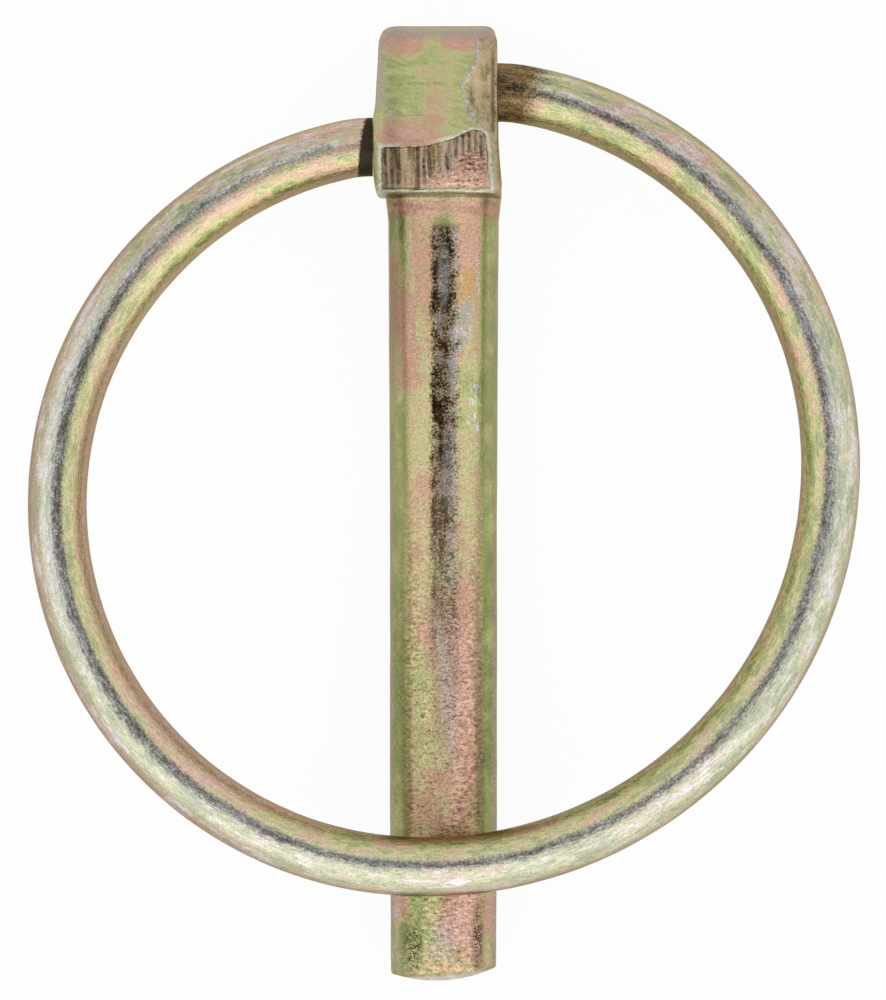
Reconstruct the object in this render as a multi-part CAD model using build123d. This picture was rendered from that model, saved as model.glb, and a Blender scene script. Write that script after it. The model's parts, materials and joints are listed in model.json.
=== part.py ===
from build123d import *
from math import asin, atan2, cos, degrees, sin
import os

# A lynch pin lying on its back: a headed shank, and a wire ring that swings over the head and closes on the shank.
# Both pieces are drawn in the pin's own frame, in millimetres. The shoulder under the head is at y = 0, the shank
# runs towards -Y, and the ring closes on the front, towards +Z. The finished pieces are then laid on the floor.

# Shank
shank_radius = 3.0
shank_length = 43.75
shank_root = 0.45
shoulder_radius = 3.14
shoulder_taper = 18.0
seat_length = 16.0
tip_radius = 2.95
tip_edge_width = 0.35
tip_edge_height = 0.4
tip_dome = 0.45

# Head: the height of each section above the shoulder, its left and right sides, its half depth,
# and how wide a strip is pressed down along its front right corner
head_sections = [
    (0.00, -3.55, 3.22, 4.20, 0.50),
    (0.45, -3.93, 3.27, 4.50, 0.60),
    (2.80, -3.90, 3.08, 4.50, 0.80),
    (6.00, -3.74, 3.04, 3.90, 2.05),
    (8.60, -3.62, 3.00, 3.20, 1.10),
    (9.20, -3.40, 2.86, 2.80, 0.90),
    (9.45, -2.95, 2.62, 2.35, 0.70),
]
press_slope = 0.55
head_corner = 0.45
head_left = head_sections[1][1]
head_right = head_sections[3][2]
upper_hole_height = 5.83
hole_web = 0.5

# Ring: one wire, bent as arcs that follow one another clockwise from its right end
wire_radius = 1.65
wire_clearance = 0.06
end_in_hole = 3.0
end_outside = 0.2
ring_arcs = [
    (6.0, 9.4),
    (20.6, 67.2),
    (22.45, 110.0),
    (20.25, 161.6),
    (6.0, 11.8),
]
ring_gap = 0.1
end_gap = 0.1

# Shank, turned about its own axis
tip_edge_y = tip_dome + tip_edge_height - shank_length
face_edge = (tip_radius - tip_edge_width, tip_dome - shank_length)
seat_end = shoulder_taper + seat_length
shank_side = Polyline(
    (0, shank_root),
    (shoulder_radius, shank_root),
    (shoulder_radius, 0),
    (shank_radius, -shoulder_taper),
    (shank_radius, -seat_end),
    (tip_radius, tip_edge_y),
    face_edge,
)
tip_face = TangentArc((0, -shank_length), face_edge, tangent=(1, 0))
shank_axis = Line((0, -shank_length), (0, shank_root))
shank = revolve(make_face([shank_side, tip_face, shank_axis]), Axis.Y)


def head_corners(height, left, right, half_depth, pressed):
    """The corners of one level section of the head, an oblong with its corners cut."""
    outline = [
        (left + head_corner, half_depth),
        (right - pressed, half_depth),
        (right, half_depth - press_slope * pressed),
        (right, -half_depth + head_corner),
        (right - head_corner, -half_depth),
        (left + head_corner, -half_depth),
        (left, -half_depth + head_corner),
        (left, half_depth - head_corner),
    ]
    return [(x, height, z) for x, z in outline]


# Every face between two sections is flat, because their matching sides are parallel
sections = [head_corners(*row) for row in head_sections]
head_faces = [make_face(Polyline(*ends, close=True)) for ends in (sections[0], sections[-1])]
for lower, upper in zip(sections, sections[1:]):
    for i in range(len(lower)):
        head_faces.append(make_face(Polyline(lower[i - 1], lower[i], upper[i], upper[i - 1], close=True)))
head = Solid(Shell(head_faces))

# Ring, drawn flat with its right end's axis along the x axis, then leaned so that it just clears the shank
start = Line((head_right - end_in_hole, 0), (head_right + end_outside, 0))
ring_path = [start]
for radius, sweep_angle in ring_arcs:
    last = ring_path[-1]
    ring_path.append(JernArc(last @ 1, last % 1, radius, -sweep_angle))
left_end = ring_path[-1] @ 1
ring_path.append(Line(left_end, (head_left - end_gap, left_end.Y)))
ring_wire = Wire(ring_path)
wire_section = Plane(origin=ring_wire @ 0, z_dir=ring_wire % 0) * Circle(wire_radius)
flat_ring = sweep(wire_section, path=ring_wire)

reach = -ring_wire.bounding_box().min.Y
ring_lean = asin((shank_radius + wire_radius + ring_gap) / reach)
ring_plane = Plane(
    origin=(0, upper_hole_height, 0),
    x_dir=(1, 0, 0),
    z_dir=(0, sin(ring_lean), cos(ring_lean)),
)
spring_ring = ring_plane * flat_ring

# The wire's two holes, blind, from either side of the head
hole_radius = wire_radius + wire_clearance
head_middle = (head_left + head_right) / 2
upper_floor = head_middle + hole_web / 2
lower_floor = head_middle - hole_web / 2
lower_hole = (ring_plane * Vertex(0, left_end.Y, 0)).center()


def hole(floor, mouth, height, depth):
    """A round hole along X from its floor to past the head's side."""
    across = Plane(origin=(floor, height, depth), x_dir=(0, 1, 0), z_dir=(mouth - floor, 0, 0))
    return extrude(across * Circle(hole_radius), abs(mouth - floor))


pin = shank + head
pin -= hole(upper_floor, head_right + 1, upper_hole_height, 0)
pin -= hole(lower_floor, head_left - 1, lower_hole.Y, lower_hole.Z)

# Laid on the floor, on the head's back edge and the tip
back_edge_y, back_edge_depth = head_sections[1][0], head_sections[1][3]
pin_lean = atan2(back_edge_depth - tip_radius, back_edge_y - tip_edge_y)
leaned = Rotation(degrees(pin_lean), 0, 0)
box = Compound(children=[leaned * pin, leaned * spring_ring]).bounding_box()
to_floor = Pos(-box.center().X, -box.center().Y, -box.min.Z) * leaned

os.makedirs("parts", exist_ok=True)
export_step(to_floor * pin, "parts/pin.step")
export_step(to_floor * spring_ring, "parts/spring_ring.step")
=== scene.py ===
import json
from math import asin, cos, pi, radians, sin

import bmesh
import bpy
import numpy as np
from mathutils import Matrix, Vector, noise


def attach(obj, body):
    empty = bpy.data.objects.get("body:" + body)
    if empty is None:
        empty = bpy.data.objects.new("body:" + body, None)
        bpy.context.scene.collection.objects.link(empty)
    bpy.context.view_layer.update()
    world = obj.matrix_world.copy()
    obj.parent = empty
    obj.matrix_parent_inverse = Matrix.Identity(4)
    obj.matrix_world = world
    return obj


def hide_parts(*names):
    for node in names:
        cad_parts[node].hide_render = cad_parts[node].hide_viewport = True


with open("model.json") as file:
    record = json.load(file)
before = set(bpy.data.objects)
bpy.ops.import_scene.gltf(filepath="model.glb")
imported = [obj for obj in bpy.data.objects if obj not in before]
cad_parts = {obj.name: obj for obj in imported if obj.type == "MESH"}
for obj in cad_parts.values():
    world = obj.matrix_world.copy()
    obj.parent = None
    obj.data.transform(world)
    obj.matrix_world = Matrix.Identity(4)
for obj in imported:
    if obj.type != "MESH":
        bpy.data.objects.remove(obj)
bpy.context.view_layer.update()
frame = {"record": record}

# Sizes in millimetres, in the pin's own frame: the shoulder under the head is at y = 0,
# the shank runs towards -Y, and the ring closes on the front, towards +Z
mm = 0.001
shank_radius = 3.0
shank_length = 43.75
shank_root = 0.45
neck_radius = 3.25
neck_length = 1.35
shoulder_radius = 3.1
shoulder_taper = 18.0
seat_length = 16.0
tip_radius = 2.95
tip_edge = 0.2
tip_dome = 0.5
tip_tilt = 3.5
tip_pivot = -0.4

# Head: the height of each section above the shoulder, its left and right sides, its half depth,
# and how wide a strip is pressed down along its front right corner
head_sections = [
    (0.00, -3.68, 3.14, 4.20, 0.50),
    (0.45, -3.83, 3.27, 4.50, 0.60),
    (1.05, -3.91, 3.22, 4.50, 0.65),
    (1.60, -3.93, 3.17, 4.50, 0.70),
    (2.80, -3.93, 3.08, 4.50, 0.80),
    (4.30, -3.93, 3.06, 4.22, 1.40),
    (5.00, -3.80, 3.05, 4.09, 1.66),
    (6.00, -3.74, 3.04, 3.90, 2.05),
    (6.90, -3.70, 3.03, 3.66, 1.47),
    (8.60, -3.62, 3.00, 3.20, 1.10),
    (9.20, -3.40, 2.86, 2.80, 0.90),
    (9.45, -2.95, 2.62, 2.35, 0.70),
]
press_slope = 0.55
head_corner = 0.45
head_round = 0.2
head_voxel = 0.13
head_left = min(row[1] for row in head_sections)
head_right = 3.04
upper_hole_height = 5.83
hole_web = 0.5

# Ring: one wire, bent as arcs that follow one another clockwise from its right end
wire_radius = 1.65
wire_clearance = 0.06
end_in_hole = 3.0
end_outside = 0.2
end_gap = 0.01
ring_arcs = [
    (6.0, 9.4),
    (20.6, 67.2),
    (22.45, 110.0),
    (20.25, 161.6),
    (6.0, 11.8),
]
ring_gap = 0.1
wire_sides = 64
wire_step = 0.5

# Fineness of the turned shank, and the angles in degrees from which an edge shows as a crease
shank_sides = 128
shank_step = 0.5
pin_crease = 38
wire_crease = 40

# Front of the head: how deep the facet and its grooves are cut, how far the worn edges and the bumpy foot
# stand up, the heights of a fold and a scratch, the outline of the facet, the worn crest beside the pressed
# strip, and the facet's upright grooves as place, foot, top, half width and depth
trim_depth = 0.16
groove_depth = 0.13
worn_height = 0.05
foot_height = 0.12
fold_height = 6.14
scratch_height = 4.42
ripple_length = 0.26
trim_left = -3.47
trim_foot = 0.24
trim_top = (
    (-3.5, -1.5, -0.6, 0.6, 1.1, 1.45, 1.75, 2.05, 2.3),
    (2.62, 2.68, 2.79, 3.13, 3.38, 3.56, 3.62, 3.56, 3.35),
)
trim_right = ((0.2, 1.2, 2.8, 3.35, 3.7), (2.66, 2.54, 2.46, 2.3, 2.1))
crest = (
    (3.77, 4.10, 4.59, 5.25, 5.90, 6.15, 6.88, 7.87, 8.43),
    (1.89, 1.72, 1.43, 1.31, 0.99, 1.07, 1.56, 1.85, 1.87),
)
grooves = [
    (-3.22, 0.35, 2.60, 0.09, 0.8),
    (-2.85, 0.40, 2.62, 0.10, 1.0),
    (-2.50, 0.45, 2.62, 0.08, 0.9),
    (-1.87, 1.90, 2.70, 0.09, 0.9),
    (-1.42, 0.35, 2.64, 0.12, 1.0),
    (-1.06, 0.60, 2.70, 0.08, 0.8),
    (-0.73, 1.00, 2.72, 0.09, 0.9),
    (-0.25, 1.45, 2.75, 0.16, 0.7),
    (0.30, 1.50, 2.92, 0.12, 0.7),
    (0.72, 2.10, 3.20, 0.11, 0.9),
    (1.08, 2.25, 3.36, 0.09, 0.9),
    (1.42, 2.30, 3.50, 0.10, 1.0),
    (1.78, 2.25, 3.62, 0.09, 0.8),
    (2.12, 1.80, 3.30, 0.09, 0.9),
]

# Picture: its height and the shank's width in pixels, and where in the pin's frame its middle is
picture_pixels = 1000
shank_pixels = 107.5
picture_middle = (-0.028, -16.91)
camera_distance = 500
sensor_width = 36


def alone(piece):
    """Make one piece the only one selected."""
    bpy.ops.object.select_all(action="DESELECT")
    piece.select_set(True)
    bpy.context.view_layer.objects.active = piece


def pick(piece, test):
    """In edit mode, select the vertices whose place passes the test."""
    mesh = bmesh.from_edit_mesh(piece.data)
    for vertex in mesh.verts:
        vertex.select_set(bool(test(vertex.co)))
    mesh.select_flush_mode()
    bmesh.update_edit_mesh(piece.data)


def apply_modifier(piece, kind, **settings):
    """Add a modifier with these settings and apply it."""
    modifier = piece.modifiers.new(kind.title(), kind)
    for name, value in settings.items():
        setattr(modifier, name, value)
    alone(piece)
    bpy.ops.object.modifier_apply(modifier=modifier.name)


def places(piece):
    """The places of a piece's vertices, one row each."""
    flat = np.zeros(len(piece.data.vertices) * 3)
    piece.data.vertices.foreach_get("co", flat)
    return flat.reshape(-1, 3)


def soft_step(value, low, high):
    """0 at low, 1 at high, and smooth between."""
    share = np.clip((value - low) / (high - low), 0, 1)
    return share * share * (3 - 2 * share)


def lumps(piece, depth, size):
    """Press shallow hollows of about this size into a surface, so that it isn't machine true."""
    clouds = bpy.data.textures.new(piece.name + " lumps", "CLOUDS")
    clouds.noise_scale = size
    apply_modifier(piece, "DISPLACE", texture=clouds, strength=depth, mid_level=1.0)


def press(piece, weights, depth):
    """Move the vertices along Z by the depth times each one's weight."""
    group = piece.vertex_groups.new(name="pressed")
    for index in np.nonzero(weights > 0.001)[0]:
        group.add([int(index)], float(weights[index]), "REPLACE")
    apply_modifier(piece, "DISPLACE", direction="Z", strength=depth, mid_level=0.0, vertex_group=group.name)
    piece.vertex_groups.clear()


def put(piece, place):
    """Lay a finished piece in its place, with the place in its mesh."""
    piece.matrix_world = place
    alone(piece)
    bpy.ops.object.transform_apply()


# Wire ring

def bend_ring():
    """Bend the wire flat, and note the length, place and outward direction of each ring of its vertices."""
    bpy.ops.object.select_all(action="DESELECT")
    bpy.ops.mesh.primitive_circle_add(
        vertices=wire_sides, radius=wire_radius, location=(head_right - end_in_hole, 0, 0),
        rotation=(0, pi / 2, 0))
    ring = bpy.context.object
    ring.name = "ring_wire"
    bpy.ops.object.transform_apply()
    bpy.ops.object.mode_set(mode="EDIT")
    bpy.ops.mesh.select_all(action="SELECT")
    bpy.ops.mesh.edge_face_add()
    straight = end_in_hole + end_outside
    bpy.ops.mesh.extrude_region_move(TRANSFORM_OT_translate={"value": (straight, 0, 0)})
    bpy.ops.mesh.delete(type="ONLY_FACE")
    place = Vector((head_right + end_outside, 0, 0))
    up = Vector((0, 1, 0))
    stations = [(0, place - Vector((straight, 0, 0)), up), (straight, place, up)]
    heading = 0
    for radius, sweep in ring_arcs:
        pick(ring, lambda co: (co - stations[-1][1]).length < wire_radius * 1.01)
        length, place, outward = stations[-1]
        centre = place - outward * radius
        turn = radians(sweep)
        steps = max(2, round(radius * turn / wire_step))
        bpy.ops.mesh.spin(steps=steps, angle=turn, center=centre, axis=(0, 0, 1))
        for step in range(1, steps + 1):
            angle = heading - turn * step / steps
            outward = Vector((-sin(angle), cos(angle), 0))
            stations.append((length + radius * turn * step / steps, centre + outward * radius, outward))
        heading -= turn
    length, place, outward = stations[-1]
    end = Vector((head_left - end_gap - place.x, 0, 0))
    bpy.ops.mesh.extrude_region_move(TRANSFORM_OT_translate={"value": end})
    stations.append((length + end.length, place + end, outward))
    bpy.ops.mesh.edge_face_add()
    bpy.ops.mesh.select_all(action="SELECT")
    bpy.ops.mesh.normals_make_consistent(inside=False)
    bpy.ops.object.mode_set(mode="OBJECT")
    return ring, stations


# Pin

def turn_shank():
    """Draw a circle down the shank's axis, row by row, to the domed and slightly tilted tip."""
    rim = tip_dome + tip_edge - shank_length
    rows = [(0, neck_radius)]
    sides = [
        (-neck_length, shoulder_radius),
        (-shoulder_taper, shank_radius),
        (-shoulder_taper - seat_length, shank_radius),
        (rim, tip_radius),
    ]
    for end, radius in sides:
        start, first = rows[-1]
        count = round((start - end) / shank_step)
        for share in np.linspace(0, 1, count + 1)[1:]:
            rows.append((start + (end - start) * share, first + (radius - first) * share))
    for turn in (30, 60):
        rows.append((rim - tip_edge * sin(radians(turn)), tip_radius - tip_edge * (1 - cos(radians(turn)))))
    for share in (1.0, 0.85, 0.65, 0.4, 0.15):
        rows.append((tip_dome * share * share - shank_length, (tip_radius - tip_edge) * share))

    bpy.ops.object.select_all(action="DESELECT")
    bpy.ops.mesh.primitive_circle_add(
        vertices=shank_sides, radius=neck_radius, fill_type="NGON", location=(0, shank_root, 0),
        rotation=(pi / 2, 0, 0))
    shank = bpy.context.object
    shank.name = "pin_body"
    bpy.ops.object.transform_apply()
    bpy.ops.object.mode_set(mode="EDIT")
    bpy.ops.mesh.select_all(action="SELECT")
    last_y, last_radius = shank_root, neck_radius
    for y, radius in rows:
        bpy.ops.mesh.extrude_region_move(TRANSFORM_OT_translate={"value": (0, y - last_y, 0)})
        bpy.ops.transform.resize(value=(radius / last_radius,) * 3, center_override=(0, y, 0))
        last_y, last_radius = y, radius
    pick(shank, lambda co: co.y < rim + shank_step / 2)
    bpy.ops.transform.rotate(value=radians(-tip_tilt), orient_axis="Z", center_override=(tip_pivot, rim, 0))
    bpy.ops.mesh.select_all(action="SELECT")
    bpy.ops.mesh.normals_make_consistent(inside=False)
    bpy.ops.object.mode_set(mode="OBJECT")
    lumps(shank, depth=0.03, size=2.5)
    return shank


def forge_head():
    """Draw an oblong up through the head's sections, press down its front right corner, and round it."""
    height, left, right, half_depth = head_sections[0][:4]
    bpy.ops.object.select_all(action="DESELECT")
    bpy.ops.mesh.primitive_plane_add(size=1, rotation=(pi / 2, 0, 0))
    head = bpy.context.object
    head.name = "pin_head"
    head.scale = (right - left, 2 * half_depth, 1)
    head.location = ((left + right) / 2, height, 0)
    bpy.ops.object.transform_apply()
    bpy.ops.object.mode_set(mode="EDIT")
    bpy.ops.mesh.select_all(action="SELECT")
    bpy.ops.mesh.bevel(offset=head_corner, affect="VERTICES")
    for last, row in zip(head_sections, head_sections[1:]):
        last_height, last_left, last_right, last_depth = last[:4]
        height, left, right, half_depth = row[:4]
        shift = ((left + right) - (last_left + last_right)) / 2
        bpy.ops.mesh.extrude_region_move(TRANSFORM_OT_translate={"value": (shift, height - last_height, 0)})
        bpy.ops.transform.resize(
            value=((right - left) / (last_right - last_left), 1, half_depth / last_depth),
            center_override=((left + right) / 2, height, 0))
    for height, left, right, half_depth, pressed in head_sections:
        pick(head, lambda co: abs(co.y - height) < 0.01 and co.x > 0 and co.z > half_depth - 0.01)
        bpy.ops.transform.translate(value=(head_corner - pressed, 0, 0))
        pick(head, lambda co: abs(co.y - height) < 0.01 and co.z > 0 and co.x > right - 0.01)
        bpy.ops.transform.translate(value=(0, 0, head_corner - press_slope * pressed))
    bpy.ops.mesh.select_all(action="SELECT")
    bpy.ops.mesh.normals_make_consistent(inside=False)
    bpy.ops.object.mode_set(mode="OBJECT")
    apply_modifier(head, "BEVEL", width=head_round, segments=3, limit_method="ANGLE", angle_limit=radians(20))
    apply_modifier(head, "REMESH", mode="VOXEL", voxel_size=head_voxel)
    apply_modifier(head, "SMOOTH", factor=0.5, iterations=6)
    lumps(head, depth=0.04, size=1.6)
    return head


def below_front(at):
    """How far each place lies behind the head's front face."""
    heights = [row[0] for row in head_sections]
    depths = [row[3] for row in head_sections]
    return np.interp(at[..., 1], heights, depths) - at[..., 2]


def rough(at, size):
    """Smooth noise at each place, from -1 to 1, with bumps of about this size."""
    return np.array([noise.noise(Vector(place) / size) for place in at])


def ridge(offset, half_width):
    """1 on a line and falling off to either side of it."""
    return np.exp(-((offset / half_width) ** 2))


def front_marks(at):
    """How far each place belongs to the trimmed facet, its grooves, the worn edges and the pressed strip."""
    x, y = at.T[:2]
    coarse = rough(at, 0.7)
    fine = rough(at, 0.2)
    inside = 0.05 * coarse + 0.04 * fine + np.minimum.reduce([
        x - trim_left,
        np.interp(y, *trim_right) - x,
        y - trim_foot,
        np.interp(x, *trim_top) - y,
    ])
    on_front = soft_step(below_front(at), 1.7, 1.3) * soft_step(y, -0.06, 0.0)
    facet = soft_step(inside, 0.0, 0.14) * on_front

    groove = np.zeros(len(x))
    for place, foot, top, half_width, depth in grooves:
        between = soft_step(y + 0.2 * coarse, foot - 0.2, foot + 0.2) * soft_step(top - y, -0.1, 0.1)
        line = ridge(x - place + 0.05 * coarse + 0.03 * fine, half_width)
        groove = np.maximum(groove, depth * line * between)
    ripple = 0.5 - 0.5 * np.cos(2 * pi * (y + 0.08 * coarse + 0.05 * fine) / ripple_length)
    ripple = ripple * soft_step(x, 0.8, 1.0) * soft_step(2.36 - x, 0, 0.1)
    ripple = ripple * soft_step(y, 1.2, 1.3) * soft_step(2.3 - y, 0, 0.1)
    groove = np.maximum(groove, 0.5 * ripple) * facet * np.clip(0.8 + 0.5 * fine, 0, 1)
    fold = ridge(y - fold_height + 0.06 * coarse, 0.06)
    fold = fold * soft_step(x, -3.0, -2.4) * soft_step(0.3 - x, 0, 0.5)
    scratch = ridge(y - scratch_height + 0.1 * (x + 1.7) ** 2, 0.05)
    scratch = scratch * soft_step(x, -2.6, -2.4) * soft_step(-0.9 - x, 0, 0.2)
    faint = np.maximum(0.5 * fold, 0.6 * scratch) * np.clip(0.5 + fine, 0, 1)
    groove = np.maximum(groove, faint * on_front)

    faint_top = soft_step(x, -2.7, -2.3) * soft_step(0.2 - x, 0, 0.8) * soft_step(y, 2.3, 2.5)
    lip = ridge(inside + 0.08, 0.11) * (1 - 0.75 * faint_top)
    lip = lip * np.clip(0.75 + 0.6 * coarse + 0.4 * fine, 0, 1)
    off_crest = x - np.interp(y, *crest) + 0.12 * coarse + 0.08 * fine
    along_crest = soft_step(y, 3.5, 3.8) * soft_step(8.6 - y, 0, 0.3)
    worn_crest = ridge(off_crest, 0.17) * along_crest * np.clip(0.7 + 0.8 * fine + 0.4 * coarse, 0, 1)
    worn = np.maximum(lip, worn_crest) * on_front
    strip = soft_step(off_crest, 0.0, 0.25) * soft_step(x, 0.8, 1.0)
    strip = strip * soft_step(y, 3.2, 3.7) * soft_step(9.0 - y, 0, 0.6)
    return facet, groove, worn, strip


def trim_front(head):
    """Cut the trimmed facet into the head's front, with its grooves and its raised, worn edges."""
    alone(head)
    bpy.ops.object.mode_set(mode="EDIT")
    for test in (
        lambda co: below_front(np.array(co)) < 1.3,
        lambda co: below_front(np.array(co)) < 0.5 and co.y < 4.0,
    ):
        bpy.ops.mesh.select_all(action="DESELECT")
        pick(head, test)
        bpy.ops.mesh.subdivide(number_cuts=1, smoothness=0.0)
    bpy.ops.object.mode_set(mode="OBJECT")
    at = places(head)
    facet, groove, worn = front_marks(at)[:3]
    bumpy = facet * soft_step(at[:, 0], -1.3, -0.9) * soft_step(1.35 - at[:, 1], 0, 0.3)
    press(head, facet, -trim_depth)
    press(head, groove, -groove_depth)
    press(head, worn, worn_height)
    press(head, bumpy * (0.5 + 0.5 * rough(at, 0.28)), foot_height)


def drill(pin, floor, mouth, height, depth):
    """Cut a round blind hole along X from its floor to past the head's side."""
    bpy.ops.object.select_all(action="DESELECT")
    bpy.ops.mesh.primitive_cylinder_add(
        vertices=wire_sides, radius=wire_radius + wire_clearance, depth=abs(mouth - floor),
        location=((mouth + floor) / 2, height, depth), rotation=(0, pi / 2, 0))
    drilled = bpy.context.object
    apply_modifier(pin, "BOOLEAN", operation="DIFFERENCE", object=drilled)
    bpy.data.objects.remove(drilled)


def make_pin(lower_hole):
    """Join the head to the shank and drill the wire's two holes."""
    pin = turn_shank()
    head = forge_head()
    trim_front(head)
    apply_modifier(pin, "BOOLEAN", operation="UNION", object=head)
    bpy.data.objects.remove(head)
    head_middle = (head_left + head_right) / 2
    drill(pin, head_middle + hole_web / 2, head_right + 1, upper_hole_height, 0)
    drill(pin, head_middle - hole_web / 2, head_left - 1, lower_hole.y, lower_hole.z)
    facet, groove, worn, strip = front_marks(places(pin))
    marks = pin.data.attributes.new("marks", "FLOAT_VECTOR", "POINT")
    marks.data.foreach_set("vector", np.stack([facet, groove, worn], 1).ravel())
    pressed = pin.data.attributes.new("pressed", "FLOAT", "POINT")
    pressed.data.foreach_set("value", strip)
    alone(pin)
    bpy.ops.object.shade_smooth_by_angle(angle=radians(pin_crease))
    return pin


# Place of the pin, taken from the part's own mounts

mounts = {mount["name"]: mount for mount in frame["record"]["mounts"]}
tip_way = Vector(mounts["shank"]["axis"])
seat_middle = shoulder_taper + seat_length / 2
right_way = Vector((1, 0, 0))
pin_place = Matrix((right_way, -tip_way, tip_way.cross(right_way))).transposed().to_4x4()
pin_place.translation = Vector(mounts["shank"]["pos_m"]) - tip_way * seat_middle * mm
pin_place @= Matrix.Scale(mm, 4)

# The ring, leaned so that it just clears the shank, and the pin with holes where the wire's ends are

ring_piece, stations = bend_ring()
wire = ring_piece.data.attributes.new("wire", "FLOAT_VECTOR", "POINT")
for index, vertex in enumerate(ring_piece.data.vertices):
    length, place, outward = stations[index // wire_sides]
    wire.data[index].vector = (length, (vertex.co - place).dot(outward), vertex.co.z)
lumps(ring_piece, depth=0.025, size=1.5)
alone(ring_piece)
bpy.ops.object.shade_smooth_by_angle(angle=radians(wire_crease))
reach = -min(place.y for length, place, outward in stations)
ring_lean = asin((shank_radius + wire_radius + ring_gap) / reach)
ring_in_pin = Matrix.Translation((0, upper_hole_height, 0)) @ Matrix.Rotation(-ring_lean, 4, "X")
lower_hole = ring_in_pin @ Vector((0, stations[-1][1].y, 0))
put(ring_piece, pin_place @ ring_in_pin)

pin_piece = make_pin(lower_hole)
put(pin_piece, pin_place)


# Finishes

class Value:
    """A socket that can be used in Python sums."""

    def __init__(self, finish, socket):
        self.finish = finish
        self.socket = socket

    def math(self, operation, *others):
        """The result of a Math node on this value and others."""
        return self.finish.add("Math", {"operation": operation}, dict(enumerate((self, *others))))

    def __add__(self, other):
        return self.math("ADD", other)

    def __mul__(self, other):
        return self.math("MULTIPLY", other)

    def __sub__(self, other):
        return self.math("SUBTRACT", other)

    def __rsub__(self, other):
        return self * -1 + other

    def __truediv__(self, other):
        return self.math("DIVIDE", other)

    def __pow__(self, other):
        return self.math("POWER", other)

    def __neg__(self):
        return self * -1

    def __abs__(self):
        return self.math("ABSOLUTE")

    def most(self, other):
        """The larger of two values."""
        return self.math("MAXIMUM", other)

    def least(self, other):
        """The smaller of two values."""
        return self.math("MINIMUM", other)

    __radd__ = __add__
    __rmul__ = __mul__


class Finish:
    """The nodes of one material, or of the world."""

    def __init__(self, owner):
        owner.use_nodes = True
        self.tree = owner.node_tree
        self.tree.nodes.clear()

    def add(self, kind, settings, inputs, output=0):
        """Add a node, set it, feed its sockets, and return one of its outputs, if it has any."""
        node = self.tree.nodes.new("ShaderNode" + kind)
        for name, value in settings.items():
            if name == "stops":
                self.set_stops(node.color_ramp.elements, value)
            else:
                setattr(node, name, value)
        for name, value in inputs.items():
            if isinstance(value, Value):
                self.tree.links.new(value.socket, node.inputs[name])
            else:
                node.inputs[name].default_value = value
        return Value(self, node.outputs[output]) if node.outputs else None

    def set_stops(self, elements, stops):
        """Give a ramp its colours, each at its place."""
        while len(elements) < len(stops):
            elements.new(0.5)
        for element, (place, colour) in zip(elements, stops):
            element.position = place
            element.color = colour

    def own_frame(self, place):
        """Where a point of the surface is in a piece's own frame, in millimetres."""
        inputs = {
            "Vector": self.add("TexCoord", {}, {}, "Object"),
            "Location": place.translation,
            "Rotation": place.to_euler(),
            "Scale": place.to_scale(),
        }
        return self.add("Mapping", {"vector_type": "TEXTURE"}, inputs)

    def parts(self, vector):
        """The three numbers of a vector."""
        return [self.add("SeparateXYZ", {}, {"Vector": vector}, axis) for axis in range(3)]

    def attribute(self, name, output):
        """What the mesh holds under this name."""
        return self.add("Attribute", {"attribute_name": name}, {}, output)

    def stretch(self, vector, x, y, z):
        """A vector with its parts multiplied."""
        return self.add("VectorMath", {"operation": "MULTIPLY"}, {0: vector, 1: (x, y, z)})

    def swirl(self, vector, size, amount):
        """A vector moved about by smooth noise, so that patches laid out with it have natural edges."""
        drift = self.add("TexNoise", {}, {"Vector": vector, "Scale": 1 / size, "Detail": 4.0}, "Color")
        centred = self.add("VectorMath", {"operation": "SUBTRACT"}, {0: drift, 1: (0.5, 0.5, 0.5)})
        return self.add("VectorMath", {"operation": "MULTIPLY_ADD"}, {0: centred, 1: amount, 2: vector})

    def noise(self, vector, size, detail=3.0, rough=0.55):
        """Smooth noise about 0, with patches of about this size."""
        inputs = {"Vector": vector, "Scale": 1 / size, "Detail": detail, "Roughness": rough}
        return self.add("TexNoise", {}, inputs) - 0.5

    def step(self, value, low, high):
        """0 at low and 1 at high, smooth between."""
        inputs = {"Value": value, "From Min": low, "From Max": high}
        return self.add("MapRange", {"interpolation_type": "SMOOTHSTEP"}, inputs)

    def line(self, offset, half_width):
        """1 on a line, and 0 beyond its half width to either side."""
        return 1 - self.step(abs(offset), half_width * 0.3, half_width)

    def mix(self, share, first, second):
        """One colour turning into another."""
        return self.add("Mix", {"data_type": "RGBA"}, {0: share, 6: first, 7: second}, 2)

    def ramp(self, value, *stops):
        """Colours that follow one another as a value goes from 0 to 1."""
        return self.add("ValToRGB", {"stops": stops}, {"Fac": value})

    def shade(self, colour, amount):
        """A colour made darker below 1 and lighter above."""
        return self.add("VectorMath", {"operation": "SCALE"}, {0: colour, "Scale": amount})

    def metal(self, colour, rough, height):
        """Bare plated metal, with its fine relief in tenths of a millimetre."""
        relief = self.add("Bump", {}, {"Strength": 1.0, "Distance": 0.1 * mm, "Height": height})
        inputs = {
            "Base Color": colour,
            "Roughness": rough,
            "Metallic": 1.0,
            "Specular Tint": edge_tint,
            "Normal": relief,
        }
        self.end("Material", self.add("BsdfPrincipled", {}, inputs))

    def end(self, kind, shader):
        """Close the material or the world with its shader."""
        self.add("Output" + kind, {}, {"Surface": shader})


def paint(red, green, blue):
    """A colour given as it shows on a screen, from 0 to 255."""
    shown = [part / 255 for part in (red, green, blue)]
    return [part / 12.92 if part < 0.04045 else ((part + 0.055) / 1.055) ** 2.4 for part in shown] + [1]


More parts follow.
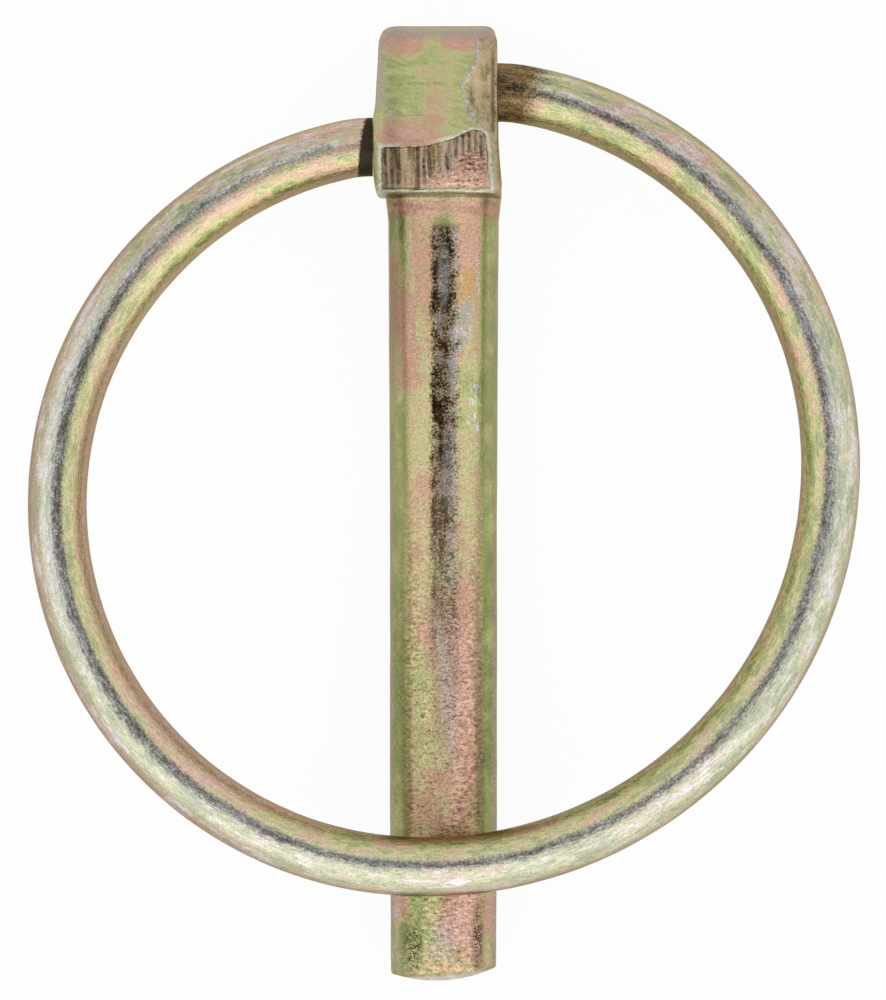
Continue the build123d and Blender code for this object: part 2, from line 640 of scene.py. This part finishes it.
# The colours of the passivated film, from thin to thick
fern = paint(148, 154, 104)
moss = paint(164, 169, 114)
lime = paint(188, 190, 132)
straw = paint(200, 186, 144)
tan = paint(198, 170, 136)
rose = paint(204, 162, 141)
blush = paint(212, 174, 158)
film_colours = (0.0, fern), (0.18, moss), (0.34, lime), (0.48, straw), (0.62, tan), (0.78, rose), (1.0, blush)

# Worn and dirty metal, and the colours of painted shade, painted reflections and painted highlights
amber = paint(196, 158, 104)
bronze = paint(172, 154, 124)
putty = paint(193, 186, 168)
cream = paint(216, 207, 172)
lilac = paint(186, 173, 162)
pearl = paint(200, 198, 189)
silver = paint(215, 215, 212)
chalk = paint(236, 235, 231)
slate = paint(153, 154, 157)
smoke = paint(112, 106, 97)
olive = paint(124, 116, 76)
# Brown of the painted shade on the wire's edges
shaded_edge_brown = paint(166, 140, 125)
rust = paint(142, 104, 62)
umber = paint(98, 78, 54)
# Black for dirt, and for painted shade and painted reflections
soot_and_shade = paint(38, 32, 28)
edge_tint = paint(214, 202, 186)


def plated_pin():
    """Passivated zinc on the pin: rose, straw and green, worn bright on its edges, rough towards the tip."""
    material = bpy.data.materials.new("plated pin")
    finish = Finish(material)
    at = finish.own_frame(pin_place)
    x, y, z = finish.parts(at)
    swirl_x, swirl_y = finish.parts(finish.swirl(at, 1.1, (1.6, 2.4, 0)))[:2]
    wipe_x, wipe_y = finish.parts(finish.swirl(at, 0.8, (3.0, 1.0, 0)))[:2]
    facet, groove, worn = finish.parts(finish.attribute("marks", "Vector"))
    strip = finish.attribute("pressed", "Fac")
    grain = finish.noise(at, 0.12, 2.0, 0.65)
    wrinkle = finish.noise(finish.stretch(at, 0.6, 1.2, 0.6), 0.2, 3.0, 0.65)
    blotch = finish.noise(at, 0.8, 4.0)
    cloud = finish.noise(at, 2.4, 3.0)
    streak = finish.noise(finish.stretch(at, 1.0, 0.12, 1.0), 0.5, 4.0)
    brush = finish.noise(finish.stretch(at, 0.2, 1.0, 0.5), 0.4, 4.0, 0.6)
    slant = {"Vector": at, "Rotation": (0, 0, radians(-20)), "Scale": (5, 1, 2)}
    hatch = finish.noise(finish.add("Mapping", {"vector_type": "TEXTURE"}, slant), 0.16, 3.0, 0.6)
    head_place = finish.step(y, -0.05, 0.05)
    front = finish.step(z, 0, 1)
    low = finish.step(-y + cloud * 6, 14, 26)

    def oval(across, along, middle, size, edge):
        """A soft oval, 1 in its middle, with an uneven edge."""
        off = ((across - middle[0]) / size[0]) ** 2 + ((along - middle[1]) / size[1]) ** 2
        return 1 - finish.step(off + edge, 0.1, 1.6)

    def patch(middle, size):
        """A broad soft patch of the shank's film."""
        return oval(swirl_x, swirl_y, middle, size, blotch)

    def wipe(middle, size):
        """A patch of the head's film, wiped out sideways."""
        return oval(wipe_x, wipe_y, middle, size, brush * 1.2)

    def mark(middle, size, lean=0.0):
        """A small patch on the front that stays where it is put, and may lean to the left as it rises."""
        return oval(x + (y - middle[1]) * lean, y, middle, size, blotch * 1.4) * front

    # Shank, tinted by the thickness of its film
    side = finish.step(abs(x) + cloud * 0.7 + blotch * 0.4, 1.9, 2.35)
    film = 0.54 + cloud * 1.0 + streak * 0.3 + blotch * 0.5 - 0.42 * side
    for middle, size, amount in (
        ((-1.6, -4.5), (1.2, 5), 0.2),
        ((-2.2, -3.0), (0.4, 3), -0.3),
        ((-2.7, -7.0), (0.9, 5), 0.5),
        ((1.4, -2.6), (0.9, 2.4), 0.2),
        ((1.4, -12), (0.8, 7), -0.2),
        ((-1.4, -14), (1.0, 4), -0.04),
        ((0.4, -19), (2.4, 6), 0.08),
        ((1.2, -29), (1.1, 8), 0.28),
        ((-1.4, -27), (0.7, 6), -0.08),
        ((1.2, -39.8), (1.3, 2.4), 0.35),
        ((-1.5, -40), (0.7, 3), -0.28),
        ((-2.5, -39.5), (0.7, 0.9), 0.65),
        ((2.7, -40.2), (0.5, 1.4), 0.65),
        ((2.2, -42.4), (0.4, 0.8), 0.4),
    ):
        film = film + patch(middle, size) * amount
    film = film - mark((-1.6, -6), (0.35, 3.6), 0.2) * 0.2
    shank = finish.ramp(film, *film_colours)
    shank = finish.mix(patch((1.25, -5), (0.5, 1.3)) * 0.7, shank, amber)
    # Painted reflection: olive lines down both sides of the shank, where the ring's wire shows in it,
    # stronger towards the ring and weaker at the tip
    painted_reflection_rail = finish.line(abs(x) - 2.04 + grain * 0.2 + cloud * 0.3, 0.4)
    tip = finish.step(-y, 38, 39)
    shank = finish.mix(painted_reflection_rail * finish.step(-y, 12, 34) * (0.7 - 0.4 * tip), shank, olive)
    far_side = finish.step(abs(x) + blotch * 0.3, 2.6, 2.9) * (0.3 + 0.4 * low)
    far_side = far_side.most(finish.step(abs(x) + blotch, 2.2, 2.7) * tip * 0.35)
    shank = finish.mix(far_side, shank, lilac)
    neck = finish.step(y + blotch * 0.8, -1.5, -0.8)
    shank = finish.mix(neck * (0.9 + brush * 0.8), shank, rose)
    shank = finish.mix(finish.line(y + 0.2 + blotch * 0.2, 0.14) * 0.6, shank, lime)
    # Painted shadow: a dark line just under the head
    shank = finish.mix(finish.line(y + 0.02, 0.12) * 0.7, shank, umber)
    scored = finish.line(y + 32.7 + blotch * 0.15, 0.09) * finish.step(x, 0.3, 0.7) * front
    shank = finish.mix(scored * 0.5, shank, moss)
    # Painted shadow of the ring on the shank just above it
    shank = finish.mix(patch((0, -36.4), (2.6, 1.3)) * 0.5, shank, umber)

    # Head
    film = 0.3 + cloud * 0.35 + brush * 0.5 + blotch * 0.25 + hatch * 0.3
    for middle, size, amount in (
        ((-0.45, 5.0), (0.8, 1.3), 0.2),
        ((-1.8, 3.9), (1.8, 0.7), 0.26),
        ((-1.7, 3.1), (2.1, 0.6), 0.5),
        ((-0.7, 6.8), (1.3, 0.4), 0.16),
        ((-2.4, 8.5), (1.6, 0.9), 0.48),
        ((1.4, 8.7), (1.6, 0.9), 0.52),
    ):
        film = film + wipe(middle, size) * amount
    head = finish.ramp(film, *film_colours)
    top = finish.step(y + blotch * 0.8 + brush * 0.6, 8.5, 9.1)
    head = finish.mix(top * (0.85 + blotch + cloud * 0.8), head, lilac)
    left_edge = finish.step(-x + blotch * 1.0, 2.9, 3.5) * finish.step(y + blotch, 4.4, 5.2)
    head = finish.mix(left_edge * 0.7, head, lilac)
    pressed = finish.ramp(
        streak + blotch * 0.8 + grain * 0.4 + 0.5, (0.3, olive), (0.45, bronze), (0.6, tan), (0.75, lilac))
    beside = finish.step(x + blotch * 0.4, 2.45, 2.75) * (1 - finish.step(y, 3.0, 3.8))
    head = finish.mix(strip.most(beside * 0.8) * 0.85, head, pressed)
    # Painted shade: a dark line down the head's right front edge
    right_edge_shade = finish.line(x - 2.76 + blotch * 0.2 + grain * 0.2, 0.16) * finish.step(y, 3.2, 3.8)
    right_edge_shade = right_edge_shade * (1 - finish.step(y, 7.4, 8.4)) * front
    head = finish.mix(right_edge_shade * 0.7, head, umber)

    # Trimmed facet: upright stripes, and a smeared, bumpy foot
    stripes = finish.noise(finish.stretch(at, 1.0, 0.08, 1.0), 0.4, 3.0) * 1.6 + grain * 0.4 + 0.5
    trimmed = finish.ramp(
        stripes, (0.22, umber), (0.36, olive), (0.45, bronze), (0.55, tan), (0.66, lilac), (0.78, umber))
    trimmed = finish.mix(finish.line(x + 2.0 + grain * 0.1, 0.4) * 0.6, trimmed, tan)
    smeared = mark((1.0, 0.45), (2.4, 0.95)).most(mark((1.6, 1.6), (1.0, 0.85)))
    foot = finish.ramp(
        wrinkle * 1.8 + grain * 0.8 + 0.5 - finish.step(y, 1.0, 1.5) * 0.14,
        (0.1, umber), (0.36, rose), (0.6, blush), (0.9, cream))
    head = finish.mix(facet, head, finish.mix(smeared, trimmed, foot))

    # Painted reflection: a dark, speckled band down the middle of the front. Below it dark flecks, dirt at
    # the tip, and painted shade in the grooves
    colour = finish.mix(head_place, shank, head)
    painted_reflection_band = 1 - finish.step(abs(x - 0.07) + grain * 0.6 + blotch * 0.5, 0.58, 0.9)
    fading = finish.step(-y + blotch * 10 + streak * 12, 10, 34)
    painted_reflection_band = painted_reflection_band * finish.step(-y + grain * 1.2 + blotch * 0.3, 1.4, 1.9) * front * (1 - fading)
    upper = 1 - finish.step(-y, 3, 9)
    specks = grain * 0.9 + blotch * 1.0 + streak * 0.7 - upper * 0.09 + x * 0.13 + 0.5
    band_reflection_colour = finish.ramp(specks, (0.3, soot_and_shade), (0.46, umber), (0.58, bronze), (0.7, slate), (0.82, pearl))
    colour = finish.mix(painted_reflection_band, colour, band_reflection_colour)
    flecked = mark((0.1, -22), (1.1, 7)).most(mark((-0.5, -30), (1.2, 6)) * 0.6)
    colour = finish.mix(flecked * finish.step(wrinkle + blotch * 0.4, 0.03, 0.11) * 0.75, colour, soot_and_shade)
    dirt = mark((-1.65, -41.7), (0.6, 1.6)).most(mark((1.88, -41.3), (0.34, 1.9)))
    colour = finish.mix(dirt * finish.step(grain + blotch * 0.3, -0.05, 0.08) * 0.9, colour, soot_and_shade)
    # Painted shade: the grooves, the fold and the scratch darkened
    colour = finish.mix(groove * (0.75 + grain * 1.5), colour, soot_and_shade)

    # Smears, those beside the dark band partly a painted reflection; chips, bare metal and painted highlights
    smear_and_reflection = mark((1.05, -7.3), (0.5, 1.5), -0.2).most(mark((0.15, -27.6), (0.4, 4.4), 0.1) * 0.6)
    smear_and_reflection = smear_and_reflection.most(mark((0.0, -4.4), (0.35, 1.8)) * 0.7).most(mark((0.3, -15), (0.35, 2.5)) * 0.6)
    smear_and_reflection = smear_and_reflection.most(mark((-0.1, -41.4), (0.9, 1.2)) * 0.5)
    smear_and_reflection_colour = finish.ramp(
        grain * 0.45 + blotch * 0.6 + 0.54, (0.28, smoke), (0.4, slate), (0.56, lilac), (0.8, silver))
    smear_and_reflection = smear_and_reflection * finish.step(wrinkle * 0.6 + grain * 0.3 + blotch, -0.35, 0.0)
    colour = finish.mix(smear_and_reflection, colour, smear_and_reflection_colour)
    flake = finish.noise(finish.stretch(at, 1.3, 0.45, 1.0), 0.35, 1.0)
    chips_and_highlights = mark((1.75, -12.6), (0.4, 2.2)) * finish.step(flake, 0.07, 0.1)
    chips_and_highlights = chips_and_highlights.most(mark((1.95, -3.4), (0.12, 2.4)) * finish.step(grain + streak, -0.1, 0.1) * 0.6)
    for middle, size in (
        ((-2.62, -39.8), (0.2, 0.45)),
        ((-2.7, -42.4), (0.35, 0.3)),
        # Painted highlights on the head's left edge
        ((-3.12, 7.3), (0.14, 0.6)),
        ((-2.95, 4.3), (0.16, 0.7)),
    ):
        chips_and_highlights = chips_and_highlights.most(mark(middle, size) * finish.step(grain + streak, -0.1, 0.15) * 0.5)
    # Painted highlight: a thin bright rim along the bottom of the tip
    tip_highlight = finish.step(-y + 0.09 * x + blotch * 0.3, 43.2, 43.45) * 0.8
    # Bare metal on the worn edges and chips, with the painted highlights
    bare_and_highlights = (worn * finish.step(grain + worn * 0.4, -0.2, 0.1)).most(chips_and_highlights).most(tip_highlight)
    dulled = finish.step(y, 3.5, 4.0) * 0.14
    bright = finish.ramp(
        grain * 0.5 + blotch * 0.6 + 0.54 - dulled,
        (0.25, umber), (0.36, slate), (0.52, silver), (0.8, chalk))
    colour = finish.mix(bare_and_highlights, colour, bright)
    smooth = side.most(head_place - facet).most(tip_highlight)
    # Lighter and darker with the grain and the wrinkles, the wrinkles standing in for the light and shade on
    # fine bumps (painted shade); the sides darker, the tip lighter, the upper left darker, and under the head
    # streaked and darker towards the sides
    grain_and_painted_shade = 1 + grain * (1.2 + 0.5 * low) * (1 - 0.5 * smooth)
    grain_and_painted_shade = grain_and_painted_shade + wrinkle * (0.5 + 2.2 * low) * (1 - 0.7 * smooth) - 0.08 * side + 0.07 * tip
    grain_and_painted_shade = grain_and_painted_shade - 0.12 * mark((-1.8, -4), (1.6, 7)) - 0.25 * mark((-2.9, -4), (0.6, 10))
    under_head = neck * (1 - head_place)
    grain_and_painted_shade = grain_and_painted_shade + under_head * (brush * 1.2 - finish.step(abs(x), 0.8, 2.4) * 0.15)
    grain_and_painted_shade = grain_and_painted_shade + (head_place - facet) * hatch * 0.25
    colour = finish.shade(colour, grain_and_painted_shade)

    rough = 0.22 + 0.2 * low + 0.12 * head_place + 0.15 * facet + 0.1 * bare_and_highlights
    height = grain * (0.12 + 0.1 * low) + wrinkle * (0.06 + 0.5 * low + 0.3 * facet)
    finish.metal(colour, rough, height)
    return material


def plated_wire():
    """Passivated zinc on the ring: painted shade on its brown edges, a painted reflection on its dark crest,
    a painted highlight on its silvered crown, and drawing streaks.
    """
    material = bpy.data.materials.new("plated wire")
    finish = Finish(material)
    wire = finish.attribute("wire", "Vector")
    along, outward, forward = finish.parts(wire)
    x, y = finish.parts(finish.own_frame(pin_place @ ring_in_pin))[:2]
    grain = finish.noise(wire, 0.12, 2.0, 0.65)
    fibre = finish.noise(finish.stretch(wire, 0.25, 1.0, 1.0), 0.12, 3.0, 0.6)
    streak = finish.noise(finish.stretch(wire, 0.25, 1.0, 1.0), 0.5, 4.0, 0.65)
    tint = finish.noise(finish.stretch(wire, 0.35, 1.0, 1.0), 1.0, 5.0, 0.65)
    cloud = finish.noise(finish.stretch(wire, 0.25, 0.5, 0.5), 3.0, 2.0)
    lower = finish.step(-y + cloud * 20, 6, 20)
    left = finish.step(-x, 4, 14)
    right = finish.step(x, 4, 16)
    upper_left = left * (1 - lower)
    lower_left = left * lower
    bottom = finish.step(-y, 26, 35)
    front = finish.step(forward, 0, 0.8)
    to_end = stations[-1][0] - along
    wander = finish.noise(finish.stretch(wire, 1.0, 0.0, 0.0), 7.0, 2.0)

    # From the inner edge to the outer edge, under a mottled film, with painted shade: brown at both edges,
    # where the wire turns away
    across = outward / wire_radius * 0.5 + 0.5 + cloud * 0.1 + fibre * 0.16
    lower_ramp_with_shade = finish.ramp(
        across, (0.0, shaded_edge_brown), (0.08, bronze), (0.16, lime), (0.28, cream), (0.44, pearl), (0.56, silver),
        (0.76, silver), (0.88, pearl), (0.94, putty), (1.0, shaded_edge_brown))
    upper_ramp_with_shade = finish.ramp(
        across, (0.0, shaded_edge_brown), (0.07, olive), (0.15, lime), (0.26, cream), (0.44, pearl), (0.6, pearl),
        (0.9, putty), (1.0, shaded_edge_brown))
    colour = finish.mix(lower, upper_ramp_with_shade, lower_ramp_with_shade)
    inner = 1 - finish.step(across, 0.3, 0.5)
    inner_edge = 1 - finish.step(across, 0.14, 0.3)
    off_edge = 1 - finish.step(abs(across - 0.5), 0.36, 0.47) * 0.6
    near_end = 1 - finish.step(to_end, 2, 5)
    film = 0.42 + tint * (3.6 - 0.6 * lower) + streak * 1.6 + fibre * 0.8 + 0.2 * near_end
    film = film + right * (1 - lower) * (0.1 + tint * 1.2) - right * lower * 0.12
    film = film + lower_left * (0.35 * inner_edge + (0.25 * bottom - 0.04) * inner)
    # The film lightened, most on the outer side of the ring's lower part: painted light
    film_with_painted_light = finish.shade(finish.ramp(film, *film_colours), 1.1 + 0.08 * (1 - inner) * lower)
    colour = finish.mix(off_edge * (0.7 - 0.16 * lower * (1 - inner)), colour, film_with_painted_light)
    # Painted shade: the edges darker, brown on the left, olive on the inner edge elsewhere
    colour = finish.mix(inner_edge * lower_left * 0.35, colour, shaded_edge_brown)
    colour = finish.mix(finish.step(across, 0.76, 0.94) * left * 0.55, colour, shaded_edge_brown)
    colour = finish.mix((1 - finish.step(across, 0.02, 0.14)) * (1 - left) * 0.5, colour, olive)
    scuffed = finish.step(streak + tint * 0.7 + fibre * 0.4, 0.05, 0.12) * finish.step(across, 0.5, 0.62)
    flake = finish.mix(lower * 0.45, silver, chalk)
    colour = finish.mix(scuffed * off_edge * (0.5 + 0.3 * lower), colour, flake)
    # Painted highlight along the outer side of the crest on the lower left
    painted_highlight_crown = finish.line(across - 0.67 + streak * 0.1, 0.14) * lower_left * (1 - bottom)
    colour = finish.mix(painted_highlight_crown * 0.4, colour, chalk)

    # Painted reflection: the speckled dark crest, with painted shade beside it and a painted highlight near
    # its end
    off_crest = across - 0.51 + right * 0.03 - upper_left * 0.03 + wander * 0.1 + streak * 0.05
    crest_spread = 0.03 * (lower_left + right * (1 - bottom))
    painted_reflection_crest = 1 - finish.step(abs(off_crest) + grain * 0.08 - crest_spread, 0.015, 0.1)
    painted_reflection_crest = painted_reflection_crest * finish.step(to_end, 2.0, 2.5)
    rubbed = 1 - finish.step(to_end, 4, 16)
    crest_reflection_colour = finish.ramp(
        grain * 0.6 + fibre * 0.5 + streak * 0.6 + off_crest * 1.8 + 0.48 + 0.22 * rubbed
        + 0.07 * right.most(bottom),
        (0.2, soot_and_shade), (0.42, smoke), (0.6, slate), (0.85, pearl))
    crest_shade = finish.line(off_crest - 0.06, 0.18) * (left * 0.35 + right * 0.25) * (1 - bottom)
    colour = finish.mix(crest_shade * front, colour, slate)
    colour = finish.mix(painted_reflection_crest * front * 0.9, colour, crest_reflection_colour)
    crest_end_highlight = finish.line(to_end - 2.1, 0.35) * finish.line(outward - 0.25 + grain * 0.2, 0.25)
    colour = finish.mix(crest_end_highlight * front * 0.8, colour, silver)

    # Dirt and painted shade where the wire enters the head
    right_dirt_and_shade = 1 - finish.step(along + grain * 1.2 + streak * 2, 4.4, 5.8)
    caked_and_shaded = finish.ramp(
        grain * 0.8 + streak * 1.4 + 0.5,
        (0.28, soot_and_shade), (0.42, umber), (0.56, rust), (0.68, olive), (0.85, bronze))
    colour = finish.mix(right_dirt_and_shade * 0.9, colour, caked_and_shaded)
    left_dirt_and_shade = 1 - finish.step(to_end + 0.22 * outward + grain * 0.3, 0.6, 0.8)
    colour = finish.mix(left_dirt_and_shade * 0.95, colour, soot_and_shade)
    # Painted light: the inner side lighter, most on the upper left, and the outer side at the bottom a little
    # lighter
    painted_light = inner * (0.05 + 0.13 * upper_left) + (1 - inner) * 0.04 * bottom
    colour = finish.shade(colour, 1 + grain * 1.0 + fibre * 0.8 + painted_light)

    rough = 0.22 + streak * 0.2 + 0.2 * right_dirt_and_shade.most(left_dirt_and_shade)
    finish.metal(colour, rough, grain * 0.18 + fibre * 0.18)
    return material


pin_piece.data.materials.clear()
pin_piece.data.materials.append(plated_pin())
ring_piece.data.materials.append(plated_wire())
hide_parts("pin")
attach(pin_piece, "pin")
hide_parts("spring_ring")
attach(ring_piece, "ring")


# Floor, light and camera

def pale_floor():
    """A wide white floor that shows as a white background and keeps the object's shadow."""
    bpy.ops.object.select_all(action="DESELECT")
    bpy.ops.mesh.primitive_plane_add(size=6)
    floor = bpy.context.object
    floor.name = "floor"
    material = bpy.data.materials.new("floor white")
    finish = Finish(material)
    shown = 0
    for ray in ("Is Camera Ray", "Is Glossy Ray", "Is Transmission Ray"):
        shown = finish.add("LightPath", {}, {}, ray) + shown
    lit = finish.add("BsdfDiffuse", {}, {"Color": (0.9, 0.9, 0.9, 1)})
    white = finish.add("Emission", {}, {"Color": (1, 1, 1, 1), "Strength": 1.0})
    finish.end("Material", finish.add("MixShader", {}, {0: shown.least(1) * 0.94, 1: lit, 2: white}))
    floor.data.materials.append(material)


def studio():
    """A bright tent all round, with the camera's own dark opening overhead."""
    world = bpy.data.worlds.new("tent")
    bpy.context.scene.world = world
    finish = Finish(world)
    way = finish.add("TexCoord", {}, {}, "Generated")
    x, y, z = finish.parts(way)
    half_width, half_length = 0.38, 0.18
    off_middle = ((x / half_width) ** 2 + (y / half_length) ** 2) ** 0.5
    opening = finish.step(off_middle, 0.75, 1.2).most(1 - finish.step(z, 0, 0.2))
    horizon = finish.step(z, 0, 0.4)
    light = 0.4 + opening * (0.64 - 0.27 * y) * (0.7 + 0.3 * horizon)
    camera_sees = finish.add("LightPath", {}, {}, "Is Camera Ray")
    strength = light * (1 - camera_sees) + camera_sees
    finish.end("World", finish.add("Background", {}, {"Color": (1, 1, 1, 1), "Strength": strength}))


def photo_camera():
    """Square on to the pin's front."""
    camera = bpy.data.objects.new("camera", bpy.data.cameras.new("camera"))
    bpy.context.scene.collection.objects.link(camera)
    picture_height = picture_pixels * 2 * shank_radius / shank_pixels
    camera.data.sensor_width = sensor_width
    camera.data.lens = sensor_width * camera_distance / picture_height
    camera.data.clip_start = 0.01
    off = Matrix.Translation((*picture_middle, camera_distance))
    camera.matrix_world = pin_place @ off @ Matrix.Scale(1 / mm, 4)
    bpy.context.scene.camera = camera


pale_floor()
studio()
photo_camera()
bpy.context.scene.view_settings.view_transform = "Standard"
